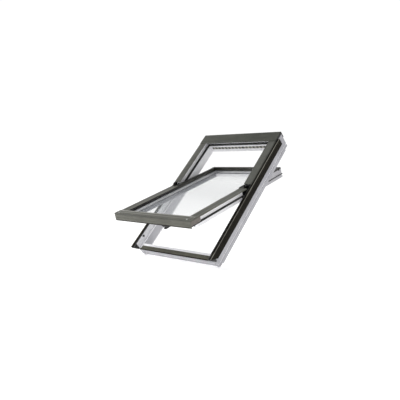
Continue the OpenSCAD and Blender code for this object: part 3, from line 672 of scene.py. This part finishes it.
def endCaps():
    cap = {"inner": 366.6, "outer": 400.6, "low": -36.0}
    outline = [
        (-0.1, -0.3),
        (-0.1, -48.0),
        *arc((-9.0, -46.0), 6.0, 300, 200, 5),
        (-18.0, -38.0),
        *arc((cap["low"] + 6.0, -12.0), 5.0, 220, 180, 4),
        (cap["low"], -0.3),
    ]
    piece = drawAcross("stileEndRight", outline, cap["inner"], cap["outer"], True)
    roundEdges(piece, 1.4, 3)
    fitPair(piece, blackPlastic, "frame", roofMatrix, "end_cap")


# sash: claddings, beads, corner covers

def sideSheets():
    cover = {"low": sash["railInner"], "high": sash["sideStart"], "valley": 1.6}
    top = sash["claddingTop"]
    inner, outer = sash["glassHalfWidth"], sash["claddingHalfWidth"]
    outline = [
        (inner + 0.6, sash["glassZ"] + 0.1),
        (inner, sash["glassZ"] + 1.0),
        (inner, top - 4.0),
        (inner + 1.5, top - 2.4),
        (inner + 14.0, top - cover["valley"]),
        (inner + 17.0, top - cover["valley"]),
        (inner + 19.5, top),
        (inner + 24.0, top),
        (inner + 26.5, top - cover["valley"]),
        (outer - 14.0, top - cover["valley"]),
        (outer - 11.5, top),
        *arc((outer - 3.0, top - 3.0), 3.0, 90, 0, 4),
        (outer, sash["claddingLip"] + 1.2),
        (outer - 1.0, sash["claddingLip"]),
    ]
    shell = drawAlong("sashSheetRight", outline, cover["low"], cover["high"])
    thicken(shell, window["sheet"])
    endLow, endTop = sash["claddingLip"] + 0.6, top - 3.2
    endOutline = [(inner + 1.0, endTop), (outer - 1.0, endTop), (outer - 1.0, endLow), (inner + 1.0, endLow)]
    end = drawAlong("sashSheetEnd", endOutline, cover["high"] - 0.2, cover["high"] - 1.4, True)
    piece = joinPieces([shell, end])
    roundEdges(piece, 0.3, 2)
    piece.data.materials.append(greySheet)
    paintFaces(piece, sealRubber, lambda at, facing: at.x < inner + 1.6 and at.z < top - 2.6)
    # painted shade: the darker sheet in the valleys of the top
    paintFaces(piece, shadedCoverSheet, lambda at, facing: top - 2.0 < at.z < top - 0.9
               and inner + 8 < at.x < outer - 8)
    fitPair(piece, greySheet, "sash", sashMatrix, "sash_cladding")


def railSheet():
    rail = {"rib": 2.2, "topRibs": 2, "topStart": 18.0, "topPitch": 31.0, "topWide": 10.0,
            "frontRib": 1.6, "frontRibs": 2, "frontStart": 9.0, "frontPitch": 19.0, "frontWide": 8.0,
            "foot": 7.0, "frontShade": 9.5}
    inner, outer, top = sash["railInner"], sash["railOuter"], sash["railTop"]
    topGrooves = [inner - rail["topStart"] - i * rail["topPitch"] for i in range(rail["topRibs"])]
    frontGrooves = [top - rail["frontStart"] - i * rail["frontPitch"] for i in range(rail["frontRibs"])]
    outline = [(inner, sash["claddingLip"]), *arc((inner - 1.6, top - 1.6), 1.6, 0, 90, 3)]
    for y in topGrooves:
        outline += [(y, top), (y - 2.0, top - rail["rib"]), (y - rail["topWide"] + 2.0, top - rail["rib"]),
                    (y - rail["topWide"], top)]
    outline += arc((outer + 3.0, top - 3.0), 3.0, 90, 180, 5)
    for z in frontGrooves:
        outline += [(outer, z), (outer + rail["frontRib"], z - 1.5),
                    (outer + rail["frontRib"], z - rail["frontWide"] + 1.5), (outer, z - rail["frontWide"])]
    outline += [
        (outer, sash["railFoot"] + 8.0),
        (outer + 1.4, sash["railFoot"] + 6.5),
        (outer + 1.4, sash["railFoot"] + 1.5),
        (outer + 3.0, sash["railFoot"]),
    ]
    half = sash["claddingHalfWidth"]
    shell = drawAcross("railSheet", outline, -half, half)
    thicken(shell, window["sheet"], 1.0)
    parts = [shell]
    wallLow = sash["claddingLip"] + 0.5
    wallOutline = [(inner - 0.8, wallLow), (inner - 0.8, top - 1.6), (outer + 2.0, top - 1.8),
                   (outer + 1.0, top - 3.4), (outer + 1.0, wallLow)]
    for side in (-1, 1):
        parts.append(drawAcross("railEnd", wallOutline, side * half, side * (half - window["sheet"]), True))
    lipOutline = [(inner, sash["claddingLip"] + 1.0), (inner, sash["glassZ"] + 0.1)]
    lip = drawAcross("railLip", lipOutline, -sash["glassHalfWidth"], sash["glassHalfWidth"])
    thicken(lip, window["sheet"], 1.0)
    piece = joinPieces([*parts, lip])
    roundEdges(piece, 0.3, 2)

    def isLip(at, facing):
        return at.y > inner - 1.3 and at.z < top - 3.0 and abs(at.x) < sash["glassHalfWidth"] + 1

    # painted shade: the near-black sheet in the grooves and on the foot
    def isGrooveShade(at, facing):
        onTop = top - 3.4 < at.z < top - 0.6 and any(abs(at.y - y + 5.0) < 4.6 for y in topGrooves)
        onFront = outer + 0.5 < at.y < outer + 3.4 and any(abs(at.z - z + 4.0) < 3.6 for z in frontGrooves)
        return abs(at.x) < half - 2 and (onTop or onFront or at.z < sash["railFoot"] + rail["foot"])

    piece.data.materials.append(greySheet)
    paintFaces(piece, sealRubber, isLip)
    paintFaces(piece, shadeSheet, isGrooveShade)
    # painted highlight: the lighter sheet along the inner top edge
    paintFaces(piece, highlightSheet, lambda at, facing: facing.z > 0.7
               and inner - rail["topStart"] < at.y < inner - 0.8)
    # painted shade: the darker sheet along the top of the front
    paintFaces(piece, shadedCoverSheet, lambda at, facing: facing.z < 0.8 and at.y < outer + 3.0
               and top - rail["frontShade"] < at.z < top + 1.0)
    fit(piece, greySheet, "sash", sashMatrix, ["sash_cladding_bottom"])


def glazingBeads():
    bead = {"top": 12.0, "crest": 18.0, "ridge": 10.5, "wall": 321.0, "seatTop": -2.0, "wallEnd": 482.0}
    inner, outer = sash["glassHalfWidth"], sash["halfWidth"]

    def outline(a, b, wall, crest):
        step = 1 if b > a else -1
        return [
            (a, sash["glassZ"] + 0.1),
            (a, crest - 5.0),
            (a + 1.5 * step, crest - 1.5),
            (a + 4.5 * step, crest),
            (a + bead["ridge"] * step, crest),
            (a + 14.5 * step, bead["top"]),
            (a + 20.0 * step, bead["top"]),
            (a + 21.0 * step, bead["top"] - 1.2),
            (a + 23.0 * step, bead["top"] - 1.2),
            (a + 24.0 * step, bead["top"]),
            (b - 4.0 * step, bead["top"]),
            (b - 1.0 * step, bead["top"] - 2.5),
            (b, bead["seatTop"] + 0.1),
            (wall, bead["seatTop"] + 0.1),
            (wall, sash["glassZ"] + 0.1),
        ]

    sideOutline = outline(inner, outer, bead["wall"], bead["crest"])
    side = drawAlong("beadRight", sideOutline, sash["sideStart"], sash["upperInner"], True)
    roundEdges(side, 0.5, 2)
    fitPair(side, beadBlack, "sash", sashMatrix, "glazing_bead")
    # the upper covers close over the ends of the top bead, so its ridge stops short of them
    ridgeEnd = inner + bead["ridge"]
    spans = [(-outer, -ridgeEnd, bead["top"]), (-ridgeEnd, ridgeEnd, bead["crest"]),
             (ridgeEnd, outer, bead["top"])]
    top = joinPieces([
        drawAcross("beadTop", outline(sash["upperInner"], sash["upperEnd"], bead["wallEnd"], crest),
                   start, stop, True) for start, stop, crest in spans])
    top.name = "beadTop"
    roundEdges(top, 0.5, 2)
    fit(top, beadBlack, "sash", sashMatrix, ["glazing_bead_top"])


def cornerCovers():
    cover = {"inner": 345.2, "outer": 365.5, "low": -647.0, "high": -536.0, "foot": -32.0, "top": -2.0,
             "slotStart": -596.0, "slotEnd": -566.0, "slotLow": -24.0, "slotHigh": -20.5}
    outline = [
        (cover["inner"], cover["low"]),
        *arc((cover["outer"] - 4.0, cover["low"] + 4.0), 4.0, 270, 360, 5),
        (cover["outer"], cover["high"] - 16.0),
        (cover["outer"] - 2.0, cover["high"] - 8.0),
        (cover["outer"] - 8.0, cover["high"]),
        (cover["inner"], cover["high"]),
    ]
    block = drawSection("cornerCoverRight", [place(x, y, cover["foot"]) for x, y in outline],
                        place(0, 0, cover["top"] - cover["foot"]), True)
    roundEdges(block, 1.2, 3)
    slotOutline = [(cover["slotStart"], cover["slotLow"]), (cover["slotEnd"], cover["slotLow"]),
                   (cover["slotEnd"], cover["slotHigh"]), (cover["slotStart"], cover["slotHigh"])]
    slot = drawAcross("cornerSlot", slotOutline, cover["outer"] - 2.5, cover["outer"] + 1.5, True)
    applyModifier(block, "BOOLEAN", operation="DIFFERENCE", object=slot, solver="EXACT")
    bpy.data.objects.remove(slot)
    fitPair(block, taupePlastic, "sash", sashMatrix, "corner_cover")


# seal: a lip round the sides and the top, and a thick bulb on the sides of the lower half

def sashSeal():
    seal = {"root": 5.7, "reach": 2.7, "bulb": 356.0, "bulbLow": -44.6, "bulbHigh": -33.5,
            "bulbStart": -636.0, "bulbEnd": -46.0}
    low, high = sash["sealLow"] + 0.1, sash["sealHigh"] - 0.1
    middle = (low + high) / 2

    def lipOutline(edge, overlap, radius):
        return [(edge - seal["root"], low), (edge + overlap, low),
                *arc((edge + seal["reach"], middle), radius, 270, 450, 8),
                (edge + overlap, high), (edge - seal["root"], high)]

    bulbMiddle = (seal["bulbLow"] + seal["bulbHigh"]) / 2
    bulbRadius = (seal["bulbHigh"] - seal["bulbLow"]) / 2
    bulbOutline = [(sash["halfWidth"] + 0.05, seal["bulbLow"]),
                   *arc((seal["bulb"] - bulbRadius, bulbMiddle), bulbRadius, 270, 450, 10),
                   (sash["halfWidth"] + 0.05, seal["bulbHigh"])]
    sides = []
    for name, outline, start, stop in (
            ("sealLip", lipOutline(sash["halfWidth"], 0.1, 2.8), sash["lowerEnd"], sash["upperEnd"] + 5.0),
            ("sealBulb", bulbOutline, seal["bulbStart"], seal["bulbEnd"])):
        side = drawAlong(name, outline, start, stop, True)
        sides += [side, mirrored(side, name + "Left")]
    end = drawAcross("sealEnd", lipOutline(sash["upperEnd"], 0.0, 2.7), -sash["halfWidth"], sash["halfWidth"],
                     True)
    piece = joinPieces([end, *sides])
    piece.name = "sashSeal"
    fit(piece, sealRubber, "sash", sashMatrix, ["sash_seal"], 50)


# handle and screws

def handleParts():
    grip = {"y": -530.0, "baseHalf": 38.0, "tipHalf": 15.0, "halfDeep": 12.0, "tipZ": -110.0,
            "gripLow": -128.0, "gripHigh": -115.0, "length": 108.0, "neck": 6.0, "neckLong": 44.0}
    outline = [
        (-grip["baseHalf"], sash["roomZ"]),
        (grip["baseHalf"], sash["roomZ"]),
        (grip["baseHalf"], sash["roomZ"] - 4.0),
        (grip["baseHalf"] - 4.0, sash["roomZ"] - 7.5),
        (grip["tipHalf"] + 1.0, grip["tipZ"] + 2.0),
        (grip["tipHalf"] - 2.0, grip["tipZ"]),
        (-grip["tipHalf"] + 2.0, grip["tipZ"]),
        (-grip["tipHalf"] - 1.0, grip["tipZ"] + 2.0),
        (-grip["baseHalf"] + 4.0, sash["roomZ"] - 7.5),
        (-grip["baseHalf"], sash["roomZ"] - 4.0),
    ]
    base = drawAlong("handleBase", outline, grip["y"] - grip["halfDeep"], grip["y"] + grip["halfDeep"], True)
    roundEdges(base, 1.5, 3)
    fit(base, blackPlastic, "sash", sashMatrix, ["handle_base"])
    gripSide = [(10.5, -10.0), (11.0, 12.0), (8.5, 46.0), (9.0, 84.0), (7.5, grip["length"])]
    gripOutline = [(-10.5, -10.0), *gripSide, *[(-x, y) for x, y in reversed(gripSide[1:])]]
    lever = drawSection("handleLever", [place(x, grip["y"] + y, grip["gripLow"]) for x, y in gripOutline],
                        place(0, 0, grip["gripHigh"] - grip["gripLow"]), True)
    roundEdges(lever, 3.5, 4)
    bpy.ops.object.select_all(action="DESELECT")
    bpy.ops.mesh.primitive_cylinder_add(vertices=40, radius=grip["neck"] * mm, depth=grip["neckLong"] * mm,
                                        location=place(0, grip["y"], grip["gripHigh"] + 20.0))
    neck = bpy.context.object
    bpy.ops.object.transform_apply(location=True)
    roundEdges(neck, 0.5, 2)
    piece = joinPieces([lever, neck])
    fit(piece, blackPlastic, "handle", sashMatrix, ["handle_lever"])


def claddingScrews():
    screw = {"head": 4.8, "rise": 1.6, "shank": 1.9, "long": 24.0, "across": 335.0, "inset": 12.0}
    parts = []
    for side in (-1, 1):
        for y in (sash["railOuter"] + screw["inset"], sash["railInner"] - screw["inset"]):
            spot = place(side * screw["across"], y, sash["railTop"])
            bpy.ops.object.select_all(action="DESELECT")
            bpy.ops.mesh.primitive_cylinder_add(vertices=24, radius=screw["head"] * mm,
                                                depth=screw["rise"] * mm,
                                                location=spot + place(0, 0, screw["rise"] / 2))
            head = bpy.context.object
            bpy.ops.object.transform_apply(location=True)
            bpy.ops.object.mode_set(mode="EDIT")
            bpy.ops.mesh.select_all(action="DESELECT")
            bpy.ops.mesh.select_mode(type="FACE")
            bpy.ops.object.mode_set(mode="OBJECT")
            for face in head.data.polygons:
                face.select = face.normal.z > 0.9
            bpy.ops.object.mode_set(mode="EDIT")
            bpy.ops.mesh.inset(thickness=1.3 * mm)
            bpy.ops.mesh.inset(thickness=0.5 * mm, depth=-0.8 * mm)
            bpy.ops.object.mode_set(mode="OBJECT")
            roundEdges(head, 0.3, 2)
            bpy.ops.mesh.primitive_cylinder_add(vertices=16, radius=screw["shank"] * mm,
                                                depth=screw["long"] * mm,
                                                location=spot - place(0, 0, screw["long"] / 2 + 0.2))
            shank = bpy.context.object
            bpy.ops.object.transform_apply(location=True)
            parts += [head, shank]
    piece = joinPieces(parts)
    piece.name = "claddingScrews"
    fit(piece, brightSteel, "sash", sashMatrix, ["cladding_screws"])


sideBands()
gasketStrips()
upperCovers()
hoodCover()
sillSheetPiece()
endCaps()
print("frame claddings done")
sideSheets()
railSheet()
glazingBeads()
cornerCovers()
sashSeal()
handleParts()
claddingScrews()
print("sash pieces done")


# studio

def studio():
    room = {"floorSize": 30.0, "floorGap": 0.5, "glow": 0.42}
    lowest = cadBounds[0].z
    paper = Finish("studioPaper")
    fibre = paper.noise(40, 4)
    paper.feed("Base Color", fibre.tint((0.89, 0.89, 0.89), (0.92, 0.92, 0.92)))
    paper.set(Roughness=0.9, Emission_Color=(1, 1, 1, 1), Emission_Strength=room["glow"])
    bpy.ops.object.select_all(action="DESELECT")
    bpy.ops.mesh.primitive_plane_add(size=room["floorSize"], location=(0, 0, lowest - room["floorGap"] * mm))
    floor = bpy.context.object
    floor.name = "studioFloor"
    floor.data.materials.append(paper.material)
    studioWorld()


def studioWorld():
    # bright wall behind the window, a soft ceiling, and a darker room in front
    room = {"wallSide": (-0.66, 0.75, 0.0), "dim": 0.36, "ceiling": 0.36, "wall": 1.05}
    world = bpy.data.worlds.new("studioWorld")
    world.use_nodes = True
    tree = world.node_tree
    direction = tree.nodes.new("ShaderNodeTexCoord").outputs["Generated"]
    toWall = tree.nodes.new("ShaderNodeVectorMath")
    toWall.operation = "DOT_PRODUCT"
    toWall.inputs[1].default_value = room["wallSide"]
    tree.links.new(direction, toWall.inputs[0])
    split = tree.nodes.new("ShaderNodeSeparateXYZ")
    tree.links.new(direction, split.inputs[0])
    wall = Field(tree, toWall.outputs["Value"]).between(0.35, 0.75) * (room["wall"] - room["dim"])
    ceiling = Field(tree, split.outputs["Z"]).between(0.1, 0.9) * room["ceiling"]
    glow = (wall + ceiling + room["dim"]).mathNode("MINIMUM", room["wall"])
    tree.links.new(glow.socket, tree.nodes["Background"].inputs["Strength"])
    tree.nodes["Background"].inputs["Color"].default_value = (1.0, 1.0, 1.0, 1.0)
    bpy.context.scene.world = world


def softLight(name, location, target, size, power, colour=(1, 1, 1)):
    bpy.ops.object.light_add(type="AREA", location=location)
    lamp = bpy.context.object
    lamp.name = name
    lamp.data.shape = "DISK"
    lamp.data.size = size
    lamp.data.energy = power
    lamp.data.color = colour
    lamp.rotation_euler = (Vector(target) - Vector(location)).to_track_quat("-Z", "Y").to_euler()


def camera():
    view = {"place": (2.446, -2.539, 0.663), "look": (-0.6565, 0.7509, -0.0714), "lens": 44.1}
    bpy.ops.object.camera_add(location=view["place"])
    eye = bpy.context.object
    eye.name = "studioCamera"
    eye.rotation_mode = "QUATERNION"
    eye.rotation_quaternion = Vector(view["look"]).to_track_quat("-Z", "Y")
    eye.data.sensor_width = 36.0
    eye.data.lens = view["lens"]
    eye.data.clip_end = 100
    bpy.context.scene.camera = eye


studio()
softLight("keyLight", (-1.6, -2.8, 3.4), (0, 0.3, 0.4), 2.2, 110)
softLight("fillLight", (4.2, -1.6, 1.2), (0, 0.4, 0.4), 2.4, 30)
camera()
bpy.context.scene.view_settings.view_transform = "Standard"
print("studio set")
